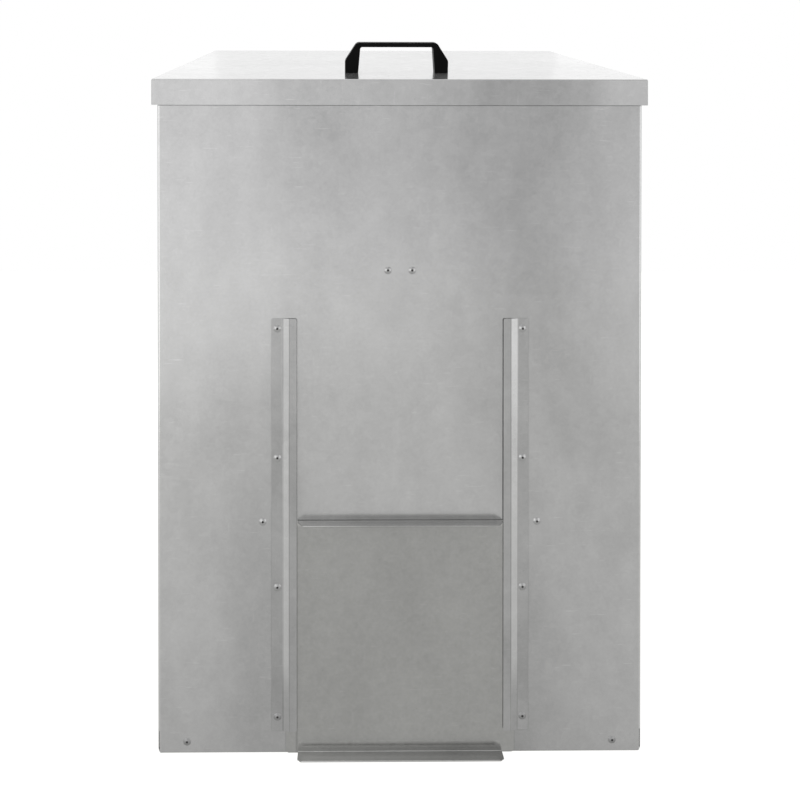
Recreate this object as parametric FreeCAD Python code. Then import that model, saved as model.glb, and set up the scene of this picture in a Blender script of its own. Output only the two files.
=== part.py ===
import FreeCAD, Part
import math
import os

from FreeCAD import Placement, Rotation
from FreeCAD import Vector as V

# Coal bunker. Millimetres, +Z up, the front faces -Y, and the origin is the centre of the base.

# Body
WIDTH = 600.0
DEPTH = 600.0
SHEET = 1.0
BEND = 1.0              # inside radius of most folds
CORNER_BEND = 2.0       # inside radius of the upright corners
RETURN = 26.0           # how far the front and back panels wrap round onto the sides
FLANGE = 16.0           # inward flange under the lid
SLOPE_DEG = 13.2        # the lid rises towards the back
SLOPE = math.tan(math.radians(SLOPE_DEG))

# Lid
LID_WIDTH = 614.0
LID_FRONT_Y = -302.3
LID_FRONT_Z = 833.9     # top of the lid at its front edge
LID_RIM = 31.9
LID_BEND = 1.2
LID_SEAM = 1.0          # open gap at each folded corner
LID_CLEARANCE = 0.5     # between the lid and the flanges it closes on

# Hatch and what guides it
HATCH_HALF_WIDTH = 141.4
HATCH_HEIGHT = 288.6
HATCH_GAP = 0.5         # between the hatch and the front panel
HATCH_CORNER = 4.0
LIP_HALF_WIDTH = 126.6
LIP_DEPTH = 24.0
LIP_HEM = 7.0           # width of the edge folded back on each lip
LIP_TOP_CUT = (7.4, 16.0)
LIP_BOTTOM_CUT = (5.0, 6.0)
MOUTH_HALF_WIDTH = 120.0
MOUTH_Z = (27.0, 265.0)
RAIL_Z = (27.5, 538.5)
RAIL_OUTER_X = 159.0
RAIL_WEB_X = (146.2, 137.6)
RAIL_INNER_X = 127.8
RAIL_STAND_OFF = 4.5
RAIL_CORNER = 2.0

# Floor pan
FLOOR_RIM = 25.0

# Blind rivets
HEAD_RADIUS = 4.7
HEAD_HEIGHT = 1.7
SHANK_RADIUS = 2.4
HOLE_RADIUS = 2.45
TAIL_RADIUS = 3.2
TAIL_LENGTH = 3.0
MANDREL_RADIUS = 1.4
MANDREL_DEPTH = 0.9

RAIL_RIVET_X = 151.9
RAIL_RIVET_Z = (44.5, 205.5, 366.0, 526.0)
BAFFLE_RIVET_X = 170.0
BAFFLE_RIVET_Z = 286.5
STOP_RIVET_X = 15.0
STOP_RIVET_Z = 598.0
FLOOR_RIVET_X = 264.0
FLOOR_RIVET_Z = 13.5
FLOOR_SIDE_RIVET_Y = (-200.0, 0.0, 200.0)
SEAM_RIVET_INSET = 14.0
SEAM_RIVET_Z = (50.0, 230.0, 410.0, 590.0, 770.0)

# Hinges
HINGE_X = 200.0
HINGE_LENGTH = 60.0
LEAF = 1.2
PIN_RADIUS = 2.0
PIN_BORE = 2.05
PIN_HEAD_RADIUS = 2.9
PIN_HEAD = 1.0
BARREL_RADIUS = PIN_BORE + LEAF
KNUCKLE_GAP = 0.4
KNUCKLE_CLEARANCE = 0.5     # between the barrel and the back panel
LEAF_HEIGHT = 27.0
HINGE_BELOW_RIM = 4.2   # from the rim's bottom edge down to the hinge axis
HINGE_RIVET_X = (-20.0, 0.0, 20.0)
HINGE_RIVET_FROM_AXIS = 19.0

# Handle
HANDLE_FROM_FRONT = 94.3
HANDLE_DEPTH = 26.0
HANDLE_HEIGHT = 39.6
HANDLE_FOOT_X = 68.4
HANDLE_FOOT_HEIGHT = 16.2
HANDLE_TOP_X = 53.0
HANDLE_WINDOW_X = (50.8, 48.0)
HANDLE_GRIP = 5.9
SCREW_X = 58.9
SCREW_RADIUS = 2.4
SCREW_HOLE = 2.45
SCREW_LENGTH = 12.0
SCREW_HEAD_RADIUS = 4.6
SCREW_HEAD = 3.0
WASHER_RADIUS = 7.0
WASHER = 1.2

HALF_W = WIDTH / 2
HALF_D = DEPTH / 2
FRONT_Y = -HALF_D
BACK_Y = HALF_D
SLOPED_SHEET = SHEET / math.cos(math.radians(SLOPE_DEG))
HINGE_Y = BACK_Y + KNUCKLE_CLEARANCE + BARREL_RADIUS
LID_BACK_INNER_Y = HINGE_Y + BARREL_RADIUS
LID_BACK_Y = LID_BACK_INNER_Y + SHEET


def lid_top(y):
    """Height of the lid's top face at a given depth."""
    return LID_FRONT_Z + (y - LID_FRONT_Y) * SLOPE


def body_top(y):
    """Height of the flanges' top face at a given depth."""
    return lid_top(y) - SLOPED_SHEET - LID_CLEARANCE


HINGE_Z = lid_top(LID_BACK_Y) - LID_RIM - HINGE_BELOW_RIM


def box(x0, x1, y0, y1, z0, z1):
    return Part.makeBox(x1 - x0, y1 - y0, z1 - z0, V(x0, y0, z0))


def cylinder(radius, start, end):
    axis = end - start
    return Part.makeCylinder(radius, axis.Length, start, axis)


def offset_path(path, distance):
    """The path moved sideways: to its left for a positive distance."""
    lines = []
    for (ax, ay), (bx, by) in zip(path, path[1:]):
        length = math.hypot(bx - ax, by - ay)
        nx = -(by - ay) / length * distance
        ny = (bx - ax) / length * distance
        lines.append(((ax + nx, ay + ny), (bx + nx, by + ny)))
    moved = [lines[0][0]]
    for ((ax, ay), (bx, by)), ((cx, cy), (dx, dy)) in zip(lines, lines[1:]):
        ux, uy = bx - ax, by - ay
        wx, wy = dx - cx, dy - cy
        t = ((cx - ax) * wy - (cy - ay) * wx) / (ux * wy - uy * wx)
        moved.append((ax + ux * t, ay + uy * t))
    moved.append(lines[-1][1])
    return moved


def rounded_edges(path, radii, place):
    """Straight edges and arcs along a path, with a radius at each inner point."""
    edges = []
    here = path[0]
    for before, corner, after, radius in zip(path, path[1:], path[2:], radii):
        in_x, in_y = corner[0] - before[0], corner[1] - before[1]
        out_x, out_y = after[0] - corner[0], after[1] - corner[1]
        in_length = math.hypot(in_x, in_y)
        out_length = math.hypot(out_x, out_y)
        in_x, in_y = in_x / in_length, in_y / in_length
        out_x, out_y = out_x / out_length, out_y / out_length
        turn = math.acos(max(-1.0, min(1.0, in_x * out_x + in_y * out_y)))
        reach = radius * math.tan(turn / 2)
        start = (corner[0] - in_x * reach, corner[1] - in_y * reach)
        end = (corner[0] + out_x * reach, corner[1] + out_y * reach)
        to_centre = radius / math.cos(turn / 2) - radius
        mid_x, mid_y = out_x - in_x, out_y - in_y
        mid_length = math.hypot(mid_x, mid_y)
        mid = (
            corner[0] + mid_x / mid_length * to_centre,
            corner[1] + mid_y / mid_length * to_centre,
        )
        edges.append(Part.makeLine(place(here), place(start)))
        edges.append(Part.Arc(place(start), place(mid), place(end)).toShape())
        here = end
    edges.append(Part.makeLine(place(here), place(path[-1])))
    return edges


def folded(path, thickness, inside_radius, place, sweep):
    """A folded sheet swept along a vector.

    The path is one face of the sheet, which lies to its left, or to its right if thickness is negative.
    """
    other = offset_path(path, thickness)
    outside_radius = inside_radius + abs(thickness)
    near_radii = []
    far_radii = []
    for (ax, ay), (bx, by), (cx, cy) in zip(path, path[1:], path[2:]):
        turns_left = (bx - ax) * (cy - by) - (by - ay) * (cx - bx) > 0
        path_is_outside = turns_left == (thickness > 0)
        near_radii.append(outside_radius if path_is_outside else inside_radius)
        far_radii.append(inside_radius if path_is_outside else outside_radius)
    edges = rounded_edges(path, near_radii, place)
    edges.append(Part.makeLine(place(path[-1]), place(other[-1])))
    edges += rounded_edges(other[::-1], far_radii[::-1], place)
    edges.append(Part.makeLine(place(other[0]), place(path[0])))
    return Part.Face(Part.Wire(edges)).extrude(sweep)


def in_plan(z):
    return lambda p: V(p[0], p[1], z)


def from_side(x):
    return lambda p: V(x, p[0], p[1])


def from_front(y):
    return lambda p: V(p[0], y, p[1])


def prism(points, sweep):
    wire = Part.makePolygon(points + [points[0]])
    return Part.Face(wire).extrude(sweep)


def under_slope(height_at, drop=0.0):
    """Everything above the sloped top, to cut away."""
    y0, y1 = -400.0, 400.0
    points = [
        V(-400, y0, height_at(y0) - drop),
        V(-400, y1, height_at(y1) - drop),
        V(-400, y1, 1200),
        V(-400, y0, 1200),
    ]
    return prism(points, V(800, 0, 0))


def frame_at(point, outward):
    """Moves a shape built along +Z so that +Z points outward from a point."""
    return Placement(point, Rotation(V(0, 0, 1), outward))


def rivet(point, outward, grip):
    """A set blind rivet: dome and mandrel recess outside, bulbed tail inside."""
    dome_radius = (HEAD_RADIUS**2 + HEAD_HEIGHT**2) / (2 * HEAD_HEIGHT)
    recess_floor = HEAD_HEIGHT - MANDREL_DEPTH
    recess_edge = dome_radius - math.sqrt(dome_radius**2 - MANDREL_RADIUS**2)
    recess_top = HEAD_HEIGHT - recess_edge
    mid_radius = (HEAD_RADIUS + MANDREL_RADIUS) / 2
    mid_height = HEAD_HEIGHT - (dome_radius - math.sqrt(dome_radius**2 - mid_radius**2))
    bulb_start = -grip - 0.05
    tail_end = -grip - TAIL_LENGTH
    edges = [
        Part.makeLine(V(0, 0, recess_floor), V(MANDREL_RADIUS, 0, recess_floor)),
        Part.makeLine(V(MANDREL_RADIUS, 0, recess_floor), V(MANDREL_RADIUS, 0, recess_top)),
        Part.Arc(
            V(MANDREL_RADIUS, 0, recess_top), V(mid_radius, 0, mid_height), V(HEAD_RADIUS, 0, 0)
        ).toShape(),
        Part.makeLine(V(HEAD_RADIUS, 0, 0), V(SHANK_RADIUS, 0, 0)),
        Part.makeLine(V(SHANK_RADIUS, 0, 0), V(SHANK_RADIUS, 0, bulb_start)),
        Part.Arc(
            V(SHANK_RADIUS, 0, bulb_start),
            V(TAIL_RADIUS, 0, (bulb_start + tail_end) / 2),
            V(SHANK_RADIUS, 0, tail_end),
        ).toShape(),
        Part.makeLine(V(SHANK_RADIUS, 0, tail_end), V(0, 0, tail_end)),
        Part.makeLine(V(0, 0, tail_end), V(0, 0, recess_floor)),
    ]
    solid = Part.Solid(
        Part.Shell(Part.Face(Part.Wire(edges)).revolve(V(0, 0, 0), V(0, 0, 1), 360).Faces)
    )
    solid.Placement = frame_at(point, outward)
    return solid


def rivet_hole(point, outward):
    """A drill through the sheets round a rivet."""
    return cylinder(HOLE_RADIUS, point + outward * 6, point - outward * 8)


def drilled(shape, spots):
    for point, outward in spots:
        shape = shape.cut(rivet_hole(point, outward))
    return shape


def rivets(spots, grip):
    return Part.makeCompound([rivet(point, outward, grip) for point, outward in spots])


FRONT = V(0, -1, 0)
BACK = V(0, 1, 0)
LEFT = V(-1, 0, 0)
RIGHT = V(1, 0, 0)

# Where every rivet goes: the point where its head meets the sheet, and the way the head faces.
rail_spots = {
    side: [(V(side * RAIL_RIVET_X, FRONT_Y - SHEET, z), FRONT) for z in RAIL_RIVET_Z]
    for side in (-1, 1)
}
baffle_spots = [(V(side * BAFFLE_RIVET_X, FRONT_Y, BAFFLE_RIVET_Z), FRONT) for side in (-1, 1)]
stop_spots = [(V(side * STOP_RIVET_X, FRONT_Y, STOP_RIVET_Z), FRONT) for side in (-1, 1)]
floor_front_spots = [(V(side * FLOOR_RIVET_X, FRONT_Y, FLOOR_RIVET_Z), FRONT) for side in (-1, 1)]
floor_back_spots = [(V(side * FLOOR_RIVET_X, BACK_Y, FLOOR_RIVET_Z), BACK) for side in (-1, 1)]
floor_side_spots = {
    side: [
        (V(side * (HALF_W - SHEET), y, FLOOR_RIVET_Z), V(side, 0, 0)) for y in FLOOR_SIDE_RIVET_Y
    ]
    for side in (-1, 1)
}
seam_spots = {
    (side, end): [
        (V(side * HALF_W, end * (HALF_D - SEAM_RIVET_INSET), z), V(side, 0, 0))
        for z in SEAM_RIVET_Z
    ]
    for side in (-1, 1)
    for end in (-1, 1)
}
hinge_body_spots = {
    side: [
        (V(side * HINGE_X + x, BACK_Y + LEAF, HINGE_Z - HINGE_RIVET_FROM_AXIS), BACK)
        for x in HINGE_RIVET_X
    ]
    for side in (-1, 1)
}
hinge_lid_spots = {
    side: [
        (V(side * HINGE_X + x, LID_BACK_Y, HINGE_Z + HINGE_RIVET_FROM_AXIS), BACK)
        for x in HINGE_RIVET_X
    ]
    for side in (-1, 1)
}


def end_panel(end):
    """Front (-1) or back (1) panel: a pan that wraps round both corners, with a top flange."""
    wrap = end * (HALF_D - RETURN)
    face = end * HALF_D
    path = [(-HALF_W, wrap), (-HALF_W, face), (HALF_W, face), (HALF_W, wrap)]
    if end > 0:
        path = path[::-1]
    pan = folded(path, SHEET, CORNER_BEND, in_plan(0), V(0, 0, 1000))
    pan = pan.cut(under_slope(body_top, 6.0))

    half_flange = HALF_W - SHEET - FLANGE - 1.0
    top = body_top(face)
    inner = face - end * FLANGE
    fold = [(face, top - 60), (face, top), (inner, body_top(inner))]
    flange = folded(fold, end * SHEET, BEND, from_side(-half_flange), V(2 * half_flange, 0, 0))
    return pan.fuse(flange).removeSplitter()


def side_panel(side):
    """Flat side sheet inside the wraps, with an inward flange along its sloped top."""
    length = 2 * (HALF_D - SHEET - CORNER_BEND)
    y = -length / 2
    outer = side * (HALF_W - SHEET)
    top = body_top(y)
    path = [(outer, -200), (outer, top), (outer - side * FLANGE, top)]
    sheet = folded(path, side * SHEET, BEND, from_front(y), V(0, length, length * SLOPE))
    sheet = sheet.cut(box(-400, 400, -400, 400, -400, 0))
    spots = seam_spots[side, -1] + seam_spots[side, 1] + floor_side_spots[side]
    return drilled(sheet, spots)


# Front panel
front_panel = end_panel(-1)
mouth = box(
    -MOUTH_HALF_WIDTH, MOUTH_HALF_WIDTH, FRONT_Y - 5, FRONT_Y + 5, MOUTH_Z[0], MOUTH_Z[1]
)
mouth_corners = [edge for edge in mouth.Edges if abs(edge.BoundBox.YLength - 10) < 0.01]
front_panel = front_panel.cut(mouth.makeFillet(8.0, mouth_corners))
RELIEF_Z = (4.0, 27.0)
RELIEF_WIDTH = 1.2
CLIP = (3.0, 5.0)
for side in (-1, 1):
    slot_x = sorted((side * (HALF_W - SHEET), side * (HALF_W - SHEET - RELIEF_WIDTH)))
    front_panel = front_panel.cut(
        box(slot_x[0], slot_x[1], FRONT_Y - 1, FRONT_Y + 3.2, RELIEF_Z[0], RELIEF_Z[1])
    )
    clip = prism(
        [
            V(side * (HALF_W + 1), FRONT_Y - 1, -1),
            V(side * (HALF_W - CLIP[0]), FRONT_Y - 1, -1),
            V(side * (HALF_W - CLIP[0]), FRONT_Y - 1, 0),
            V(side * HALF_W, FRONT_Y - 1, CLIP[1]),
            V(side * (HALF_W + 1), FRONT_Y - 1, CLIP[1]),
        ],
        V(0, 6, 0),
    )
    front_panel = front_panel.cut(clip)
front_panel = drilled(
    front_panel,
    rail_spots[-1] + rail_spots[1] + baffle_spots + stop_spots + floor_front_spots
    + seam_spots[-1, -1] + seam_spots[1, -1],
)

# Back panel
back_panel = drilled(
    end_panel(1),
    floor_back_spots + seam_spots[-1, 1] + seam_spots[1, 1]
    + hinge_body_spots[-1] + hinge_body_spots[1],
)

# Floor pan
inside_x = HALF_W - 2 * SHEET
inside_y = HALF_D - SHEET
rim_inset = 4.0
across = folded(
    [(-inside_y, FLOOR_RIM), (-inside_y, 0), (inside_y, 0), (inside_y, FLOOR_RIM)],
    SHEET, BEND, from_side(-inside_x + rim_inset), V(2 * (inside_x - rim_inset), 0, 0),
)
along = folded(
    [(-inside_x, FLOOR_RIM), (-inside_x, 0), (inside_x, 0), (inside_x, FLOOR_RIM)],
    SHEET, BEND, from_front(-inside_y + rim_inset), V(0, 2 * (inside_y - rim_inset), 0),
)
floor_pan = across.fuse(along).removeSplitter()
floor_pan = drilled(
    floor_pan,
    floor_front_spots + floor_back_spots + floor_side_spots[-1] + floor_side_spots[1],
)

# Baffle that keeps the coal off the open mouth
BAFFLE_HALF_WIDTH = 182.0
BAFFLE_TOP_Z = 300.0
BAFFLE_BEND_Z = 270.0
BAFFLE_REACH = 75.0
BAFFLE_FALL = 70.0
baffle_face = FRONT_Y + SHEET
baffle = folded(
    [
        (baffle_face, BAFFLE_TOP_Z),
        (baffle_face, BAFFLE_BEND_Z),
        (baffle_face + BAFFLE_REACH, BAFFLE_BEND_Z - BAFFLE_FALL),
        (baffle_face + BAFFLE_REACH, BAFFLE_BEND_Z - BAFFLE_FALL - 14),
    ],
    SHEET, BEND, from_side(-BAFFLE_HALF_WIDTH), V(2 * BAFFLE_HALF_WIDTH, 0, 0),
)
baffle = drilled(baffle, baffle_spots)


def rail(side):
    """Z-section guide rail, flat on the front panel outside and standing off it inside."""
    flat = FRONT_Y - SHEET
    raised = FRONT_Y - RAIL_STAND_OFF
    path = [
        (side * RAIL_OUTER_X, flat),
        (side * RAIL_WEB_X[0], flat),
        (side * RAIL_WEB_X[1], raised),
        (side * RAIL_INNER_X, raised),
    ]
    sheet = folded(
        path, -side * SHEET, 0.6, in_plan(RAIL_Z[0]), V(0, 0, RAIL_Z[1] - RAIL_Z[0])
    )
    corners = [
        edge for edge in sheet.Edges
        if edge.BoundBox.XLength < 0.01 and edge.BoundBox.ZLength < 0.01
    ]
    sheet = sheet.makeFillet(RAIL_CORNER, corners)
    return drilled(sheet, rail_spots[side])


# Hatch
hatch_back = FRONT_Y - HATCH_GAP
hatch_front = hatch_back - SHEET
plate = box(-HATCH_HALF_WIDTH, HATCH_HALF_WIDTH, hatch_front, hatch_back, 0, HATCH_HEIGHT)
plate_corners = [edge for edge in plate.Edges if abs(edge.BoundBox.YLength - SHEET) < 0.01]
plate = plate.makeFillet(HATCH_CORNER, plate_corners)
lips = folded(
    [
        (hatch_front - LIP_DEPTH, 0),
        (hatch_back, 0),
        (hatch_back, HATCH_HEIGHT),
        (hatch_front - LIP_DEPTH, HATCH_HEIGHT),
    ],
    SHEET, BEND, from_side(-LIP_HALF_WIDTH), V(2 * LIP_HALF_WIDTH, 0, 0),
)
fold_relief = SHEET + BEND
plate = plate.cut(box(-LIP_HALF_WIDTH, LIP_HALF_WIDTH, -400, -200, -1, fold_relief))
plate = plate.cut(
    box(-LIP_HALF_WIDTH, LIP_HALF_WIDTH, -400, -200, HATCH_HEIGHT - fold_relief, 400)
)
hatch = plate.fuse(lips).removeSplitter()
lip_edge = hatch_front - LIP_DEPTH
for side in (-1, 1):
    for (cut_x, cut_y), z0, z1 in ((LIP_TOP_CUT, 200, 300), (LIP_BOTTOM_CUT, -10, 20)):
        corner = prism(
            [
                V(side * (LIP_HALF_WIDTH + 1), lip_edge - 1, z0),
                V(side * (LIP_HALF_WIDTH - cut_x), lip_edge - 1, z0),
                V(side * (LIP_HALF_WIDTH - cut_x), lip_edge, z0),
                V(side * LIP_HALF_WIDTH, lip_edge + cut_y, z0),
                V(side * (LIP_HALF_WIDTH + 1), lip_edge + cut_y, z0),
            ],
            V(0, 0, z1 - z0),
        )
        hatch = hatch.cut(corner)
hatch = hatch.cut(box(-200, 200, lip_edge - 1, lip_edge + SHEET, -10, 400))
for cut_x, fold_z, hem_z in (
    (LIP_TOP_CUT[0], HATCH_HEIGHT - SHEET, HATCH_HEIGHT - 2 * SHEET),
    (LIP_BOTTOM_CUT[0], SHEET, SHEET),
):
    reach = LIP_HALF_WIDTH - cut_x
    nose = cylinder(
        SHEET, V(-reach, lip_edge + SHEET, fold_z), V(reach, lip_edge + SHEET, fold_z)
    )
    hem = box(-reach, reach, lip_edge + SHEET, lip_edge + LIP_HEM, hem_z, hem_z + SHEET)
    hatch = hatch.fuse([nose, hem])
hatch = hatch.removeSplitter()

# Lid
lid_half = LID_WIDTH / 2
front_to_back = folded(
    [
        (LID_FRONT_Y, LID_FRONT_Z - LID_RIM),
        (LID_FRONT_Y, LID_FRONT_Z),
        (LID_BACK_Y, lid_top(LID_BACK_Y)),
        (LID_BACK_Y, lid_top(LID_BACK_Y) - LID_RIM),
    ],
    -SHEET, LID_BEND, from_side(-lid_half + LID_SEAM), V(2 * (lid_half - LID_SEAM), 0, 0),
)
side_start = LID_FRONT_Y + SHEET + LID_SEAM
side_end = LID_BACK_Y - SHEET - LID_SEAM
side_top = lid_top(side_start)
side_to_side = folded(
    [
        (-lid_half, side_top - LID_RIM),
        (-lid_half, side_top),
        (lid_half, side_top),
        (lid_half, side_top - LID_RIM),
    ],
    -SLOPED_SHEET, LID_BEND, from_front(side_start),
    V(0, side_end - side_start, (side_end - side_start) * SLOPE),
)
lid_tray = front_to_back.fuse(side_to_side).removeSplitter()
lid_tray = drilled(lid_tray, hinge_lid_spots[-1] + hinge_lid_spots[1])

# Handle, built upright at the origin and then set square on the sloped lid
profile = [
    V(-HANDLE_FOOT_X, 0, 0),
    V(-HANDLE_FOOT_X, 0, HANDLE_FOOT_HEIGHT),
    V(-HANDLE_TOP_X, 0, HANDLE_HEIGHT),
    V(HANDLE_TOP_X, 0, HANDLE_HEIGHT),
    V(HANDLE_FOOT_X, 0, HANDLE_FOOT_HEIGHT),
    V(HANDLE_FOOT_X, 0, 0),
    V(HANDLE_WINDOW_X[0], 0, 0),
    V(HANDLE_WINDOW_X[1], 0, HANDLE_HEIGHT - HANDLE_GRIP),
    V(-HANDLE_WINDOW_X[1], 0, HANDLE_HEIGHT - HANDLE_GRIP),
    V(-HANDLE_WINDOW_X[0], 0, 0),
]
handle = prism(profile, V(0, HANDLE_DEPTH, 0))


def edges_at(shape, x, z):
    """Edges that run front to back through a point of the handle's outline."""
    found = []
    for edge in shape.Edges:
        centre = edge.CenterOfMass
        runs_back = edge.BoundBox.YLength > HANDLE_DEPTH - 0.1
        if runs_back and abs(abs(centre.x) - x) < 0.1 and abs(centre.z - z) < 0.1:
            found.append(edge)
    return found


handle = handle.makeFillet(7.0, edges_at(handle, HANDLE_TOP_X, HANDLE_HEIGHT))
handle = handle.makeFillet(8.0, edges_at(handle, HANDLE_FOOT_X, HANDLE_FOOT_HEIGHT))
handle = handle.makeFillet(
    3.0, edges_at(handle, HANDLE_WINDOW_X[1], HANDLE_HEIGHT - HANDLE_GRIP)
)
outline = [
    edge
    for edge in handle.Edges
    if edge.BoundBox.YLength < 0.01 and edge.BoundBox.ZMax > 0.5
]
handle = handle.makeFillet(1.6, outline)
for side in (-1, 1):
    bore = cylinder(SCREW_HOLE, V(side * SCREW_X, HANDLE_DEPTH / 2, -1),
                    V(side * SCREW_X, HANDLE_DEPTH / 2, SCREW_LENGTH - 1))
    handle = handle.cut(bore)

handle_y = LID_FRONT_Y + HANDLE_FROM_FRONT
on_lid = Placement(V(0, handle_y, lid_top(handle_y)), Rotation(V(1, 0, 0), SLOPE_DEG))
handle.Placement = on_lid

lid_parts = {}
for side, name in ((-1, "left"), (1, "right")):
    centre = V(side * SCREW_X, HANDLE_DEPTH / 2, 0)
    under = centre - V(0, 0, SHEET)
    hole = cylinder(SCREW_HOLE, centre + V(0, 0, 3), centre - V(0, 0, 6))
    hole.Placement = on_lid
    lid_tray = lid_tray.cut(hole)

    washer = cylinder(WASHER_RADIUS, under, under - V(0, 0, WASHER))
    washer = washer.cut(cylinder(SCREW_HOLE, under + V(0, 0, 1), under - V(0, 0, WASHER + 1)))
    washer.Placement = on_lid
    lid_parts["handle_washer_" + name] = washer

    seat = under - V(0, 0, WASHER)
    head = cylinder(SCREW_HEAD_RADIUS, seat, seat - V(0, 0, SCREW_HEAD))
    rim = [edge for edge in head.Edges if abs(edge.CenterOfMass.z - head.BoundBox.ZMin) < 0.01]
    head = head.makeFillet(1.4, rim)
    recess_floor = seat - V(0, 0, SCREW_HEAD - 1.6)
    for width, length in ((1.1, 5.0), (5.0, 1.1)):
        cross = box(
            centre.x - width / 2, centre.x + width / 2,
            centre.y - length / 2, centre.y + length / 2,
            seat.z - SCREW_HEAD - 1, recess_floor.z,
        )
        head = head.cut(cross)
    screw = head.fuse(cylinder(SCREW_RADIUS, seat, centre + V(0, 0, SCREW_LENGTH - 2)))
    screw = screw.removeSplitter()
    screw.Placement = on_lid
    lid_parts["handle_screw_" + name] = screw


def hinge_leaf(side, up):
    """One leaf with its knuckles: the lid leaf goes up, the body leaf goes down."""
    x0 = side * HINGE_X - HINGE_LENGTH / 2
    x1 = x0 + HINGE_LENGTH
    third = HINGE_LENGTH / 3
    # The leaf lies against the sheet on the near side (body) or the far side (lid) of the barrel.
    if up:
        y0, y1 = HINGE_Y + BARREL_RADIUS - LEAF, HINGE_Y + BARREL_RADIUS
        z0, z1 = HINGE_Z, HINGE_Z + LEAF_HEIGHT
        clear_z = (HINGE_Z - BARREL_RADIUS - 1, HINGE_Z + BARREL_RADIUS + 0.6)
        knuckles = [(x0 + third + KNUCKLE_GAP / 2, x1 - third - KNUCKLE_GAP / 2)]
        gaps = [(x0 - 1, knuckles[0][0]), (knuckles[0][1], x1 + 1)]
    else:
        y0, y1 = BACK_Y, BACK_Y + LEAF
        z0, z1 = HINGE_Z - LEAF_HEIGHT, HINGE_Z
        clear_z = (HINGE_Z - BARREL_RADIUS - 0.6, HINGE_Z + BARREL_RADIUS + 1)
        knuckles = [
            (x0, x0 + third - KNUCKLE_GAP / 2),
            (x1 - third + KNUCKLE_GAP / 2, x1),
        ]
        gaps = [(knuckles[0][1], knuckles[1][0])]
    leaf = box(x0, x1, y0, y1, z0, z1)
    for g0, g1 in gaps:
        leaf = leaf.cut(box(g0, g1, HINGE_Y - 8, HINGE_Y + 8, clear_z[0], clear_z[1]))
    for k0, k1 in knuckles:
        leaf = leaf.fuse(cylinder(BARREL_RADIUS, V(k0, HINGE_Y, HINGE_Z), V(k1, HINGE_Y, HINGE_Z)))
    leaf = leaf.removeSplitter()
    leaf = leaf.cut(cylinder(PIN_BORE, V(x0 - 5, HINGE_Y, HINGE_Z), V(x1 + 5, HINGE_Y, HINGE_Z)))
    return drilled(leaf, hinge_lid_spots[side] if up else hinge_body_spots[side])


def hinge_pin(side):
    x0 = side * HINGE_X - HINGE_LENGTH / 2
    x1 = x0 + HINGE_LENGTH
    pin = cylinder(PIN_RADIUS, V(x0 - PIN_HEAD, HINGE_Y, HINGE_Z), V(x1 + PIN_HEAD, HINGE_Y, HINGE_Z))
    for start, end in ((x0 - PIN_HEAD, x0), (x1, x1 + PIN_HEAD)):
        head = cylinder(PIN_HEAD_RADIUS, V(start, HINGE_Y, HINGE_Z), V(end, HINGE_Y, HINGE_Z))
        pin = pin.fuse(head)
    return pin.removeSplitter()


nodes = {
    "front_panel": front_panel,
    "back_panel": back_panel,
    "side_panel_left": side_panel(-1),
    "side_panel_right": side_panel(1),
    "floor_pan": floor_pan,
    "hatch_baffle": baffle,
    "hatch": hatch,
    "lid_tray": lid_tray,
    "handle": handle,
    "baffle_rivets": rivets(baffle_spots, 2 * SHEET),
    "hatch_stop_rivets": rivets(stop_spots, SHEET),
    "floor_rivets_front": rivets(floor_front_spots, 2 * SHEET),
    "floor_rivets_back": rivets(floor_back_spots, 2 * SHEET),
}
nodes.update(lid_parts)
for side, name in ((-1, "left"), (1, "right")):
    nodes["rail_" + name] = rail(side)
    nodes["rail_rivets_" + name] = rivets(rail_spots[side], 2 * SHEET)
    nodes["floor_rivets_" + name] = rivets(floor_side_spots[side], 2 * SHEET)
    nodes["seam_rivets_front_" + name] = rivets(seam_spots[side, -1], 2 * SHEET)
    nodes["seam_rivets_back_" + name] = rivets(seam_spots[side, 1], 2 * SHEET)
    nodes["hinge_body_leaf_" + name] = hinge_leaf(side, False)
    nodes["hinge_lid_leaf_" + name] = hinge_leaf(side, True)
    nodes["hinge_pin_" + name] = hinge_pin(side)
    nodes["hinge_body_rivets_" + name] = rivets(hinge_body_spots[side], LEAF + SHEET)
    nodes["hinge_lid_rivets_" + name] = rivets(hinge_lid_spots[side], LEAF + SHEET)

os.makedirs("parts", exist_ok=True)
for name, shape in nodes.items():
    shape.exportStep("parts/" + name + ".step")
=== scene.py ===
import math

import bmesh
import bpy
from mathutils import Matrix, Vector


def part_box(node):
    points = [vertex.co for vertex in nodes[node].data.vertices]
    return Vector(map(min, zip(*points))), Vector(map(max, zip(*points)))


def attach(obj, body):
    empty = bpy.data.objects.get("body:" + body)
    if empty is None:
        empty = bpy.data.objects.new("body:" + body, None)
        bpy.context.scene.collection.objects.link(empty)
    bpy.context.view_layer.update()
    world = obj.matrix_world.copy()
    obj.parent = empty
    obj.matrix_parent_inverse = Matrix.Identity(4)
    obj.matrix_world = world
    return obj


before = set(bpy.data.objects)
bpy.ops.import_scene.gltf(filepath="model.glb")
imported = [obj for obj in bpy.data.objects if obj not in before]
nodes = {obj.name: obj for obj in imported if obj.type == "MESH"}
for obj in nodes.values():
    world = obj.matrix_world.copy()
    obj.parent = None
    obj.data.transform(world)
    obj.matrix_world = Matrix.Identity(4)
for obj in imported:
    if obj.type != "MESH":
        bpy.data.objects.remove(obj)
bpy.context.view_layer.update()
scene = bpy.context.scene

# The body's outer faces, in metres
FRONT_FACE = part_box("front_panel")[0].y
BACK_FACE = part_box("back_panel")[1].y
SIDE_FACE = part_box("front_panel")[1].x


# Node graphs

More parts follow.
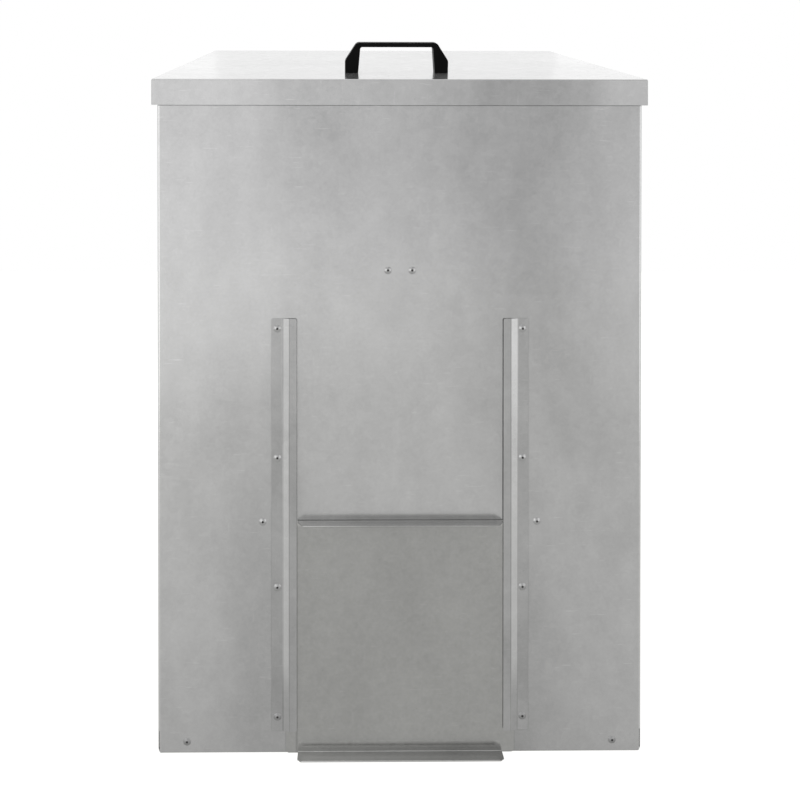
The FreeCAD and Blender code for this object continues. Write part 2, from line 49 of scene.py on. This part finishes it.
class Graph:
    """The node tree of a material or a world, with short calls for the nodes used here."""

    def __init__(self, owner, output="ShaderNodeOutputMaterial"):
        owner.use_nodes = True
        self.tree = owner.node_tree
        self.tree.nodes.clear()
        self.out = self.add(output)

    def add(self, kind, inputs=None, **settings):
        node = self.tree.nodes.new(kind)
        for key, value in settings.items():
            setattr(node, key, value)
        for key, value in (inputs or {}).items():
            self.put(node.inputs[key], value)
        return node

    def put(self, socket, value):
        """Sets a socket to a value, or joins it to the output that is to feed it."""
        if isinstance(value, bpy.types.NodeSocket):
            self.tree.links.new(value, socket)
        else:
            socket.default_value = value

    def show(self, shader):
        """Joins the finished shader to the output."""
        self.tree.links.new(shader.outputs[0], self.out.inputs["Surface"])

    def principled(self, **inputs):
        names = {key.replace("_", " "): value for key, value in inputs.items()}
        self.show(self.add("ShaderNodeBsdfPrincipled", names))

    def math(self, operation, a, b=0.0):
        node = self.add("ShaderNodeMath", operation=operation)
        self.put(node.inputs[0], a)
        self.put(node.inputs[1], b)
        return node.outputs[0]

    def total(self, first, *others):
        for other in others:
            first = self.math("ADD", first, other)
        return first

    def product(self, first, *others):
        for other in others:
            first = self.math("MULTIPLY", first, other)
        return first

    def centred(self, value, amount):
        """A 0-1 texture turned into plus or minus half the amount."""
        return self.product(self.math("SUBTRACT", value, 0.5), amount)

    def ramp(self, value, none, full, amount=1.0):
        """0 at none and the amount at full, which may lie below none."""
        return self.add("ShaderNodeMapRange", {
            "Value": value, "From Min": none, "From Max": full, "To Min": 0.0, "To Max": amount,
        }).outputs["Result"]

    def mask(self, value, none, full, still_full=None, none_again=None):
        """0 at none and 1 at full, and then back to 0 if the last two are given."""
        rise = self.ramp(value, none, full)
        if still_full is None:
            return rise
        return self.product(rise, self.ramp(value, none_again, still_full))

    def coordinates(self):
        """The piece's own coordinates in metres, which go with it when it moves."""
        return self.add("ShaderNodeTexCoord").outputs["Object"]

    def scaled(self, scale=(1.0, 1.0, 1.0), offset=(0.0, 0.0, 0.0)):
        return self.add("ShaderNodeMapping", {
            "Vector": self.coordinates(), "Scale": scale, "Location": offset,
        }).outputs["Vector"]

    def noise(self, vector, scale=1.0, detail=2.0, roughness=0.5, output="Fac"):
        return self.add("ShaderNodeTexNoise", {
            "Vector": vector, "Scale": scale, "Detail": detail, "Roughness": roughness,
        }).outputs[output]

    def stirred(self, vector, scale, amount):
        """The vector pushed about by a noise, which gives cells uneven edges."""
        push = self.add("ShaderNodeVectorMath", {
            0: self.noise(vector, scale, output="Color"), 1: (amount, amount, amount),
        }, operation="MULTIPLY")
        moved = self.add("ShaderNodeVectorMath", {0: vector, 1: push.outputs[0]}, operation="ADD")
        return moved.outputs[0]

    def cells(self, vector, scale):
        """One random grey per crystal."""
        voronoi = self.add("ShaderNodeTexVoronoi", {"Vector": vector, "Scale": scale})
        split = self.add("ShaderNodeSeparateColor", {"Color": voronoi.outputs["Color"]})
        return split.outputs["Red"]

    def painted_crease_shade(self, reach, amount, closed=0.55):
        """Painted shade where surfaces nearly touch: under a rim, beside a rivet or a lapped sheet.

        It is full where only the closed share of the space around is open.
        """
        near = self.add("ShaderNodeAmbientOcclusion", {"Distance": reach}, samples=8)
        return self.ramp(near.outputs["AO"], none=1.0, full=closed, amount=-amount)

    def tint(self, factor, dark, light, start=0.0, end=1.0):
        """The dark colour up to a factor of start, and the light one from a factor of end."""
        node = self.add("ShaderNodeValToRGB", {"Fac": factor})
        stops = ((start, dark), (end, light))
        for element, (position, colour) in zip(node.color_ramp.elements, stops):
            element.position = position
            element.color = (*colour, 1.0)
        return node.outputs["Color"]

    def bump(self, height, strength, distance, normal=None):
        inputs = {"Height": height, "Strength": strength, "Distance": distance}
        if normal is not None:
            inputs["Normal"] = normal
        return self.add("ShaderNodeBump", inputs).outputs["Normal"]

    def places(self):
        """Where a point of the piece lies, by the names that the tables of wear and painted light use.
        """
        split = self.add("ShaderNodeSeparateXYZ", {"Vector": self.coordinates()})
        x, y, z = (split.outputs[axis] for axis in "XYZ")
        out = self.math("ABSOLUTE", x)
        return {
            "x": x,
            "z": z,
            "out": out,
            "side": self.math("SUBTRACT", SIDE_FACE, out),
            "end": self.math("SUBTRACT", BACK_FACE, self.math("ABSOLUTE", y)),
            "proud": self.math("SUBTRACT", FRONT_FACE, y),
        }

    def patch(self, places, amount, **limits):
        """The amount, where a point is within all the limits."""
        masks = [self.mask(places[name], *limit) for name, limit in limits.items()]
        return self.product(*masks, amount)


# Wear, and painted light and shade
#
# Each patch of a table makes the zinc brighter or darker by its amount, within its limits. Most
# patches are painted light and painted shade, as the notes by them say. A limit says where the patch
# is nil and where it is full, and may go on to where it is still full and where it is nil again.
# Limits are
# in metres: x and z are the piece's own, out is the distance from the middle, side and end are
# distances in from the body's side faces and from its front and back faces, and proud is the distance
# in front of its front face.

ON_FRONT = (-0.0020, -0.0015)
ON_HATCH_PLATE = (0.0030, 0.0022)
ON_HATCH_LIPS = (0.0022, 0.0030)
HATCH_TOP = (0.2800, 0.2860)
HATCH_FOOT = (0.0080, 0.0040)
RAIL_WEB = (0.1374, 0.1382, 0.1455, 0.1463)
RAIL_WEB_EDGE = 0.1464
RAIL_STRIP_FADE = 0.0003
RAIL_HEAD = (0.36, 0.46)
RAIL_FOOT = (0.20, 0.09)

BODY_WEAR_AND_LIGHT = {
    # painted highlight along the bends of the front corners
    "painted_corner_highlight": dict(
        amount=0.22, side=(0.0034, 0.0020, 0.0011, 0.0005), end=(0.0038, 0.0024)),
    # painted shade on the outer edge of the corner bends
    "painted_corner_edge_shade": dict(
        amount=-0.12, side=(0.0011, 0.0005), end=(0.0038, 0.0032, 0.0010, 0.0004)),
    # painted shade low on the front beside the rails
    "painted_shade_by_rails": dict(
        amount=-0.15, proud=ON_FRONT, out=(0.235, 0.150), z=(0.36, 0.16)),
    # painted shade and reflection of the closed hatch's top lip, in a thin line over it
    "painted_shade_over_hatch": dict(
        amount=-0.13, proud=ON_FRONT, out=(0.124, 0.118), z=(0.2880, 0.2885, 0.2925, 0.2960)),
    # painted light on the inner faces, against the shade inside the bin
    "painted_light_inside": dict(
        amount=0.38, side=(0.0016, 0.0019), end=(0.0003, 0.0007)),
    "rubbed_by_raised_hatch": dict(
        amount=0.12, proud=ON_FRONT, out=(0.14, 0.06), z=(0.286, 0.300, 0.58, 0.74)),
    # painted light on the lower left of the front
    "painted_light_low_left": dict(
        amount=0.09, proud=ON_FRONT, x=(-0.20, -0.30), z=(0.05, 0.16, 0.45, 0.56)),
    # painted shade high on the front, under the lid, on the left
    "painted_shade_high_left": dict(
        amount=-0.05, proud=ON_FRONT, x=(-0.03, -0.08), z=(0.62, 0.76)),
    # painted shade high on the front, under the lid, on the right
    "painted_shade_high_right": dict(
        amount=-0.08, proud=ON_FRONT, x=(0.05, 0.12), z=(0.62, 0.76)),
}
LID_PAINTED_SHADE = {
    # painted shade on a stretch of the lid's front rim, right of the middle
    "painted_shade_front_rim": dict(amount=-0.13, proud=(0.0016, 0.0021), x=(0.085, 0.11, 0.235, 0.26)),
}
HATCH_PAINTED_LIGHT_AND_SHADE = {
    # painted light on the top lip, more on its left and less on its right
    "top_lip": dict(amount=0.22, proud=ON_HATCH_LIPS, z=HATCH_TOP),
    "top_lip_left": dict(amount=0.29, proud=ON_HATCH_LIPS, z=HATCH_TOP, x=(-0.040, -0.111)),
    "top_lip_right": dict(amount=0.14, proud=ON_HATCH_LIPS, z=HATCH_TOP, x=(0.0, 0.083)),
    # painted highlight on the bend of the top lip
    "painted_highlight_top_fold": dict(amount=0.40, proud=(0.0075, 0.0055), z=HATCH_TOP),
    # painted shade on the top lip's nose, dimming its highlight
    "painted_shade_top_nose": dict(amount=-0.28, proud=(0.0242, 0.0250), z=HATCH_TOP),
    # painted light on the bottom lip, more on its left
    "bottom_lip": dict(amount=0.22, proud=ON_HATCH_LIPS, z=HATCH_FOOT),
    "bottom_lip_left": dict(amount=0.28, proud=ON_HATCH_LIPS, z=HATCH_FOOT, x=(0.060, -0.120)),
    # painted light on the plate just over the bottom lip, where the lip's reflection falls
    "painted_light_over_bottom_lip": dict(
        amount=0.32, proud=ON_HATCH_PLATE, out=(0.126, 0.118), z=(0.0055, 0.0080, 0.0125, 0.0155)),
    # painted shadow of the left rail's inner flange on the plate's left edge
    "painted_shadow_left_edge": dict(
        amount=-0.20, proud=ON_HATCH_PLATE, x=(-0.1300, -0.1288, -0.1274, -0.1264)),
}


def rail_tones(web_foot, web, web_head, shade_strip):
    """The web's painted highlight, with painted shade along its outer edge and a fine dark line at its
    fold.
    """
    strip_full = RAIL_WEB_EDGE - shade_strip
    return {
        # painted highlight on the slanting web, changed towards its foot and head
        "web": dict(amount=web, out=RAIL_WEB),
        "web_foot": dict(amount=web_foot - web, out=RAIL_WEB, z=(0.115, 0.070)),
        "web_head": dict(amount=web_head - web, out=RAIL_WEB, z=(0.35, 0.46)),
        # painted shade in a strip along the web's outer edge, narrowing the web's painted highlight
        "shade_strip": dict(amount=-0.27, out=(strip_full - RAIL_STRIP_FADE, strip_full, *RAIL_WEB[2:])),
        # a fine darker line at the fold between the web and the inner flange
        "fold_line": dict(amount=-0.16, out=(0.1362, 0.1366, 0.1371, 0.1375)),
    }


LEFT_RAIL_TONES = rail_tones(web_foot=0.04, web=0.42, web_head=-0.08, shade_strip=0.0020)
RIGHT_RAIL_TONES = {
    **rail_tones(web_foot=0.0, web=0.33, web_head=-0.05, shade_strip=0.0009),
    "foot": dict(amount=-0.13, z=RAIL_FOOT),
    "head": dict(amount=0.08, z=RAIL_HEAD),
}


# Materials

TONE_RANGE = 0.5       # the zinc's darkest and lightest tones are this share under and over its level
DUST_Z = (0.27, 0.10)  # metres up where the small parts are clean, and where they are dustiest
DUST_SHADE = -1.8      # change of tone for each unit of roughness that dust adds


def new_material(name):
    material = bpy.data.materials.new(name)
    return material, Graph(material)


def wear_and_light_tone(g, wear_and_light, blotches):
    """A table's patches of wear, painted light and painted shade together, and soft blotches that
    leave a rail's web as it is.
    """
    places = g.places()
    tone = g.total(*(g.patch(places, **patch) for patch in wear_and_light.values()))
    if not blotches:
        return tone
    spread = g.noise(g.scaled((9.0, 9.0, 9.0)), detail=3.0, roughness=0.55)
    blotch = g.centred(g.ramp(spread, none=0.38, full=0.62), blotches)
    off_web = g.math("SUBTRACT", 1.0, g.mask(places["out"], *RAIL_WEB))
    return g.total(tone, g.product(blotch, off_web))


def galvanised(name, level, roughness=0.18, offset=(0.0, 0.0, 0.0), warmth=0.0, broad=1.0,
               fine=1.0, crease=0.17, metallic=0.85, wear_and_light=None, blotches=0.0):
    """Zinc-coated sheet: clouds, faint spangle, fine rolling marks, light scratches, slight waves.

    level is the metal's brightness and warmth its lack of blue. broad and fine scale the large and
    the small variations of tone, and crease the painted shade at gaps. offset shifts the textures, so
    that sheets side by side differ. A table's patches of wear and of painted light and shade may be
    added.
    """
    material, g = new_material(name)
    here = g.scaled(offset=offset)

    clouds = g.noise(g.scaled((6.0, 6.0, 2.5), offset))
    haze = g.noise(g.scaled((15.0, 15.0, 7.0), offset), roughness=0.6)
    smudge = g.noise(g.scaled((32.0, 32.0, 22.0), offset), detail=1.0)
    mottle = g.noise(here, scale=95.0, detail=3.0, roughness=0.6)
    spangle = g.cells(g.stirred(here, scale=90.0, amount=0.005), scale=130.0)
    fleck = g.noise(here, scale=250.0, detail=1.0)
    grain = g.noise(here, scale=700.0, roughness=0.7)
    layers = (
        (clouds, 0.12 * broad), (haze, 0.19 * broad), (smudge, 0.10 * broad),
        (mottle, 0.10 * fine), (spangle, 0.035), (fleck, 0.09 * fine), (grain, 0.06 * fine),
    )

    along = g.noise(g.scaled((45.0, 45.0, 620.0), offset), detail=1.0)
    upright = g.noise(g.scaled((620.0, 620.0, 38.0), offset), detail=1.0)
    nicks = g.noise(here, scale=260.0, detail=1.0)
    tone = g.total(
        g.ramp(along, none=0.70, full=0.80, amount=0.11),
        g.ramp(upright, none=0.71, full=0.81, amount=0.09),
        g.ramp(nicks, none=0.76, full=0.82, amount=-0.12),
        *(g.centred(layer, amount) for layer, amount in layers),
        # painted shade where surfaces nearly touch
        g.painted_crease_shade(reach=0.0020, amount=crease),
    )
    # the table's patches of painted light and painted shade, and of wear
    if wear_and_light:
        tone = g.total(tone, wear_and_light_tone(g, wear_and_light, blotches))

    tints = (1.0, 1.0, 1.0 - warmth)
    colour = g.tint(
        g.total(tone, 0.5),
        dark=tuple(level * (1.0 - TONE_RANGE) * tint for tint in tints),
        light=tuple(level * (1.0 + TONE_RANGE) * tint for tint in tints),
    )
    rough = g.total(
        g.centred(clouds, 0.06), roughness, g.centred(spangle, 0.03), g.centred(mottle, 0.05),
    )
    waves = g.bump(
        g.noise(here, scale=2.6, detail=1.0, roughness=0.4), strength=1.0, distance=0.0030,
    )
    relief = g.bump(g.total(spangle, mottle), strength=0.06, distance=0.0003, normal=waves)
    g.principled(Base_Color=colour, Metallic=metallic, Roughness=rough, Normal=relief)
    return material


def fittings_metal(name, colour, roughness, metallic=0.9, dust=0.0):
    """Small metal parts with fine handling marks, and with dust that dulls them near the floor."""
    material, g = new_material(name)
    here = g.scaled()
    mottle = g.noise(here, scale=320.0, detail=3.0, roughness=0.6)
    marks = g.noise(here, scale=1500.0, roughness=0.7)
    added = g.ramp(g.places()["z"], *DUST_Z, dust)
    tone = g.total(g.centred(mottle, 0.3), g.centred(marks, 0.12), g.product(added, DUST_SHADE), 0.5)
    g.principled(
        Base_Color=g.tint(
            tone,
            dark=tuple(c * 0.75 for c in colour),
            light=tuple(c * 1.2 for c in colour),
        ),
        Metallic=metallic,
        Roughness=g.total(g.centred(mottle, 0.12), roughness, added),
        Normal=g.bump(marks, strength=0.08, distance=0.0002),
    )
    return material


def moulded_black(name):
    """Black moulded plastic with a fine even texture and lighter rubbed patches."""
    material, g = new_material(name)
    here = g.scaled()
    texture = g.noise(here, scale=2600.0, roughness=0.6)
    rubbed = g.noise(here, scale=45.0, detail=4.0, roughness=0.65)
    g.principled(
        Base_Color=g.tint(rubbed, dark=(0.0025,) * 3, light=(0.005,) * 3, start=0.3, end=0.75),
        Roughness=g.total(g.centred(rubbed, 0.14), 0.40),
        Normal=g.bump(texture, strength=0.22, distance=0.0002),
        Specular_IOR_Level=0.04,
    )
    return material


body_metal = galvanised("galvanised_body", level=0.37, broad=1.3, wear_and_light=BODY_WEAR_AND_LIGHT)
lid_metal = galvanised(
    "galvanised_lid", level=0.385, roughness=0.16, offset=(3.0, 1.0, 0.0), broad=1.05, fine=0.8,
    metallic=0.74, wear_and_light=LID_PAINTED_SHADE,
)
hatch_metal = galvanised(
    "galvanised_hatch", level=0.293, offset=(5.0, 2.0, 4.0), warmth=0.02, broad=0.75, fine=1.35,
    crease=0.03, wear_and_light=HATCH_PAINTED_LIGHT_AND_SHADE,
)
left_rail_metal = galvanised(
    "galvanised_rail_left", level=0.30, offset=(7.0, 4.0, 2.0), wear_and_light=LEFT_RAIL_TONES,
    blotches=0.16,
)
right_rail_metal = galvanised(
    "galvanised_rail_right", level=0.335, offset=(1.0, 8.0, 5.0), wear_and_light=RIGHT_RAIL_TONES,
    blotches=0.12,
)
# The zinc inside the bin is lighter than outside: painted light against the shade inside.
inner_lit_metal = galvanised("galvanised_inner_painted_light", level=0.52, roughness=0.34, offset=(2.0, 6.0, 3.0))
rivet_metal = fittings_metal("rivet_aluminium", (0.31, 0.31, 0.31), roughness=0.24, dust=0.24)
# near-black: painted shade in the rivets' holes
mandrel_shade_metal = fittings_metal(
    "mandrel_steel_painted_shade", (0.022, 0.021, 0.020), roughness=0.55, metallic=0.5,
)
zinc_metal = fittings_metal("zinc_plate", (0.45, 0.46, 0.47), roughness=0.28)
handle_plastic = moulded_black("black_plastic")

MATERIAL_OF = {
    "hatch": hatch_metal,
    "lid_tray": lid_metal,
    "handle": handle_plastic,
    "rail_left": left_rail_metal,
    "rail_right": right_rail_metal,
    "floor_pan": inner_lit_metal,
    "hatch_baffle": inner_lit_metal,
}


def material_for(name):
    if name in MATERIAL_OF:
        return MATERIAL_OF[name]
    if "rivets" in name:
        return rivet_metal
    if name.startswith(("hinge", "handle_")):
        return zinc_metal
    return body_metal


for name, node in nodes.items():
    material = material_for(name)
    if not node.data.materials:
        node.data.materials.append(material)
    for slot in node.material_slots:
        slot.link = "OBJECT"
        slot.material = material


# Mandrel ends left in the blind rivets, coloured near black as painted shade in the rivets' holes

WELD = 1e-6          # metres within which two points are one
RIM_SHARE = 0.98     # a rivet head's rim starts at this share of its radius
MANDREL_SIDES = 16
MANDREL_TEARS = 5    # high places round a broken end
MANDREL_RINGS = (    # radius and height over the sheet in metres, and share torn up and down
    (0.00136, 0.00082, 0.0),
    (0.00136, 0.00112, 0.06),
    (0.00112, 0.00128, 0.06),
    (0.00055, 0.00120, 0.06),
)


def welded_copy(mesh):
    """A mesh whose faces share their points, so that each separate piece hangs together."""
    merged = bmesh.new()
    merged.from_mesh(mesh)
    bmesh.ops.remove_doubles(merged, verts=merged.verts, dist=WELD)
    copy = bpy.data.meshes.new("rivet_scratch")
    merged.to_mesh(copy)
    merged.free()
    return copy


def islands(mesh):
    """The vertex places of each separate piece of a mesh."""
    lead = list(range(len(mesh.vertices)))

    def find(i):
        while lead[i] != i:
            lead[i] = lead[lead[i]]
            i = lead[i]
        return i

    for edge in mesh.edges:
        a, b = (find(i) for i in edge.vertices)
        lead[a] = b
    groups = {}
    for vertex in mesh.vertices:
        groups.setdefault(find(vertex.index), []).append(vertex.co.copy())
    return groups.values()


def rivet_seat(points):
    """Where a rivet's head meets its sheet, and the way the head faces."""
    low = Vector(min(p[i] for p in points) for i in range(3))
    high = Vector(max(p[i] for p in points) for i in range(3))
    size = high - low
    along = min(range(3), key=lambda i: size[i])
    across = [i for i in range(3) if i != along]
    middle = (low + high) / 2

    def from_axis(p):
        return math.dist([p[i] for i in across], [middle[i] for i in across])

    rim_start = RIM_SHARE * max(size) / 2
    rim = [p[along] for p in points if from_axis(p) > rim_start]
    seat = middle.copy()
    seat[along] = sum(rim) / len(rim)
    outward = Vector((0.0, 0.0, 0.0))
    outward[along] = 1.0 if high[along] - seat[along] < seat[along] - low[along] else -1.0
    return seat, outward


def rivet_seats(node):
    """The seat and outward way of each rivet of a node."""
    mesh = welded_copy(node.data)
    seats = [rivet_seat(points) for points in islands(mesh)]
    bpy.data.meshes.remove(mesh)
    return seats


def mandrel_ends(name, seats):
    """Broken-off pin ends, each sunk in its rivet's recess; their near-black colour is painted shade
    there.
    """
    bm = bmesh.new()
    for number, (seat, outward) in enumerate(seats):
        turn = outward.to_track_quat("Z", "Y").to_matrix()
        previous = None
        for radius, height, torn in MANDREL_RINGS:
            ring = []
            for k in range(MANDREL_SIDES):
                angle = 2 * math.pi * k / MANDREL_SIDES
                rise = 1.0 + torn * math.sin(MANDREL_TEARS * angle + number)
                point = Vector((radius * math.cos(angle), radius * math.sin(angle), height * rise))
                ring.append(bm.verts.new(seat + turn @ point))
            if previous:
                for k in range(MANDREL_SIDES):
                    j = (k + 1) % MANDREL_SIDES
                    bm.faces.new((previous[k], previous[j], ring[j], ring[k]))
            previous = ring
        bm.faces.new(previous)
    mesh = bpy.data.meshes.new(name)
    bm.to_mesh(mesh)
    bm.free()
    mesh.materials.append(mandrel_shade_metal)
    piece = bpy.data.objects.new(name, mesh)
    scene.collection.objects.link(piece)
    return piece


bin_seats = []
lid_seats = []
for name, node in sorted(nodes.items()):
    if "rivets" in name:
        (lid_seats if name.startswith("hinge_lid") else bin_seats).extend(rivet_seats(node))
for name, seats, body in (("mandrels_bin", bin_seats, "bin"), ("mandrels_lid", lid_seats, "lid")):
    piece = mandrel_ends(name, seats)
    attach(piece, body)


# Floor, world and lights

FLOOR_REACH = 14.0            # metres from the middle to each side
FLOOR_DROP = 0.0004           # metres under the part, so that their faces never coincide
FLOOR_COLOUR = (0.26, 0.26, 0.255, 1.0)
FLOOR_GLOW_COLOUR = (1.0, 1.0, 0.985, 1.0)
FLOOR_GLOW = 0.88             # with the light that falls on it, the floor is white to the camera
FLOOR_GLOW_MIRRORED = 0.86    # share of the glow that shows in the metal
WORLD_STRENGTH = 0.80         # as a light; it is 1 where it is seen

# Where each softbox stands, where it points and its width and height, in metres, and its radiance
SOFTBOXES = {
    "left_front": ((-1.63, -2.9, 1.25), (-1.63, 0.0, 1.25), (2.70, 2.4), 0.66),
    "middle_front": ((-0.02, -3.3, 1.25), (-0.02, 0.0, 1.25), (0.52, 2.4), 0.26),
    "right_front": ((1.65, -2.6, 1.25), (1.65, 0.0, 1.25), (1.7, 2.4), 0.29),
    "left_key": ((-1.90, -1.78, 1.1), (-0.14, -0.3, 1.1), (2.1, 2.2), 0.95),
    "right_key": ((1.90, -1.78, 1.1), (0.14, -0.3, 1.1), (1.7, 2.2), 0.95),
    "left_side": ((-2.4, 0.2, 1.0), (0.0, 0.2, 1.0), (1.8, 2.0), 0.40),
    "right_side": ((2.4, 0.2, 1.0), (0.0, 0.2, 1.0), (1.8, 2.0), 0.40),
    "back": ((0.0, 3.4, 1.9), (0.0, 0.0, 0.8), (5.0, 2.0), 0.14),
    "left_back": ((-2.0, 3.4, 1.9), (-0.6, 0.0, 0.8), (2.6, 2.0), 0.12),
    "right_back": ((2.3, 3.4, 1.9), (0.9, 0.0, 0.8), (2.6, 2.0), 0.12),
    "left_back_low": ((-0.95, 1.9, 0.50), (-0.95, 0.0, 0.50), (1.6, 1.1), 0.24),
    "right_back_low": ((1.05, 1.9, 0.50), (1.05, 0.0, 0.50), (1.2, 1.1), 0.12),
    "top": ((-0.6, -0.6, 3.2), (0.0, 0.0, 0.8), (2.0, 2.0), 0.8),
}


def floor_material():
    """Pale floor that reads as white to the camera and still takes the object's shadow."""
    material, g = new_material("floor_pale")
    rays = g.add("ShaderNodeLightPath").outputs
    mirrored = g.product(rays["Is Glossy Ray"], FLOOR_GLOW_MIRRORED)
    seen = g.math("MAXIMUM", rays["Is Camera Ray"], mirrored)
    diffuse = g.add("ShaderNodeBsdfDiffuse", {"Color": FLOOR_COLOUR})
    glow = g.add("ShaderNodeEmission", {
        "Color": FLOOR_GLOW_COLOUR, "Strength": g.product(seen, FLOOR_GLOW),
    })
    g.show(g.add("ShaderNodeAddShader", {0: diffuse.outputs[0], 1: glow.outputs[0]}))
    return material


def make_floor():
    mesh = bpy.data.meshes.new("floor")
    corners = [(x * FLOOR_REACH, y * FLOOR_REACH, 0) for x, y in ((-1, -1), (1, -1), (1, 1), (-1, 1))]
    mesh.from_pydata(corners, [], [(0, 1, 2, 3)])
    floor = bpy.data.objects.new("floor", mesh)
    floor.location.z = -FLOOR_DROP
    mesh.materials.append(floor_material())
    scene.collection.objects.link(floor)


def make_world():
    """White where it is seen directly or mirrored, and softer as a light."""
    world = bpy.data.worlds.new("studio")
    scene.world = world
    g = Graph(world, "ShaderNodeOutputWorld")
    rays = g.add("ShaderNodeLightPath").outputs
    seen = g.math("MAXIMUM", rays["Is Camera Ray"], rays["Is Glossy Ray"])
    strength = g.add("ShaderNodeMapRange", {"Value": seen, "To Min": WORLD_STRENGTH, "To Max": 1.0})
    g.show(g.add("ShaderNodeBackground", {
        "Color": (1.0, 1.0, 1.0, 1.0), "Strength": strength.outputs["Result"],
    }))


def softbox(name, place, target, size, radiance):
    """A large soft light of an even brightness."""
    data = bpy.data.lights.new(name, "AREA")
    data.shape = "RECTANGLE"
    data.size, data.size_y = size
    data.energy = radiance * math.pi * size[0] * size[1]
    light = bpy.data.objects.new(name, data)
    light.location = place
    aim = Vector(target) - Vector(place)
    light.rotation_mode = "QUATERNION"
    light.rotation_quaternion = aim.to_track_quat("-Z", "Y")
    light.visible_camera = False
    scene.collection.objects.link(light)


make_floor()
make_world()
for name, settings in SOFTBOXES.items():
    softbox(name, *settings)


# Camera

IMAGE = 800                           # pixels each way
FOCAL_PIXELS = 1010.45
OPTICAL_CENTRE = (356.5, 238.57)      # the pixel that the lens's axis meets
SENSOR = 36.0                         # millimetres
CAMERA_PLACE = (-0.06663, -1.54949, 0.6483)
CAMERA_PITCH = 89.5                   # degrees up from straight down
CAMERA_YAW = -0.58                    # degrees to the left of +Y
CLIP = (0.01, 100.0)

camera_data = bpy.data.cameras.new("camera")
camera_data.sensor_width = SENSOR
camera_data.lens = FOCAL_PIXELS / IMAGE * SENSOR
camera_data.shift_x = (IMAGE / 2 - OPTICAL_CENTRE[0]) / IMAGE
camera_data.shift_y = (OPTICAL_CENTRE[1] - IMAGE / 2) / IMAGE
camera_data.clip_start, camera_data.clip_end = CLIP
camera = bpy.data.objects.new("camera", camera_data)
camera.location = CAMERA_PLACE
camera.rotation_euler = (math.radians(CAMERA_PITCH), 0.0, math.radians(CAMERA_YAW))
scene.collection.objects.link(camera)
scene.camera = camera

scene.view_settings.view_transform = "Standard"
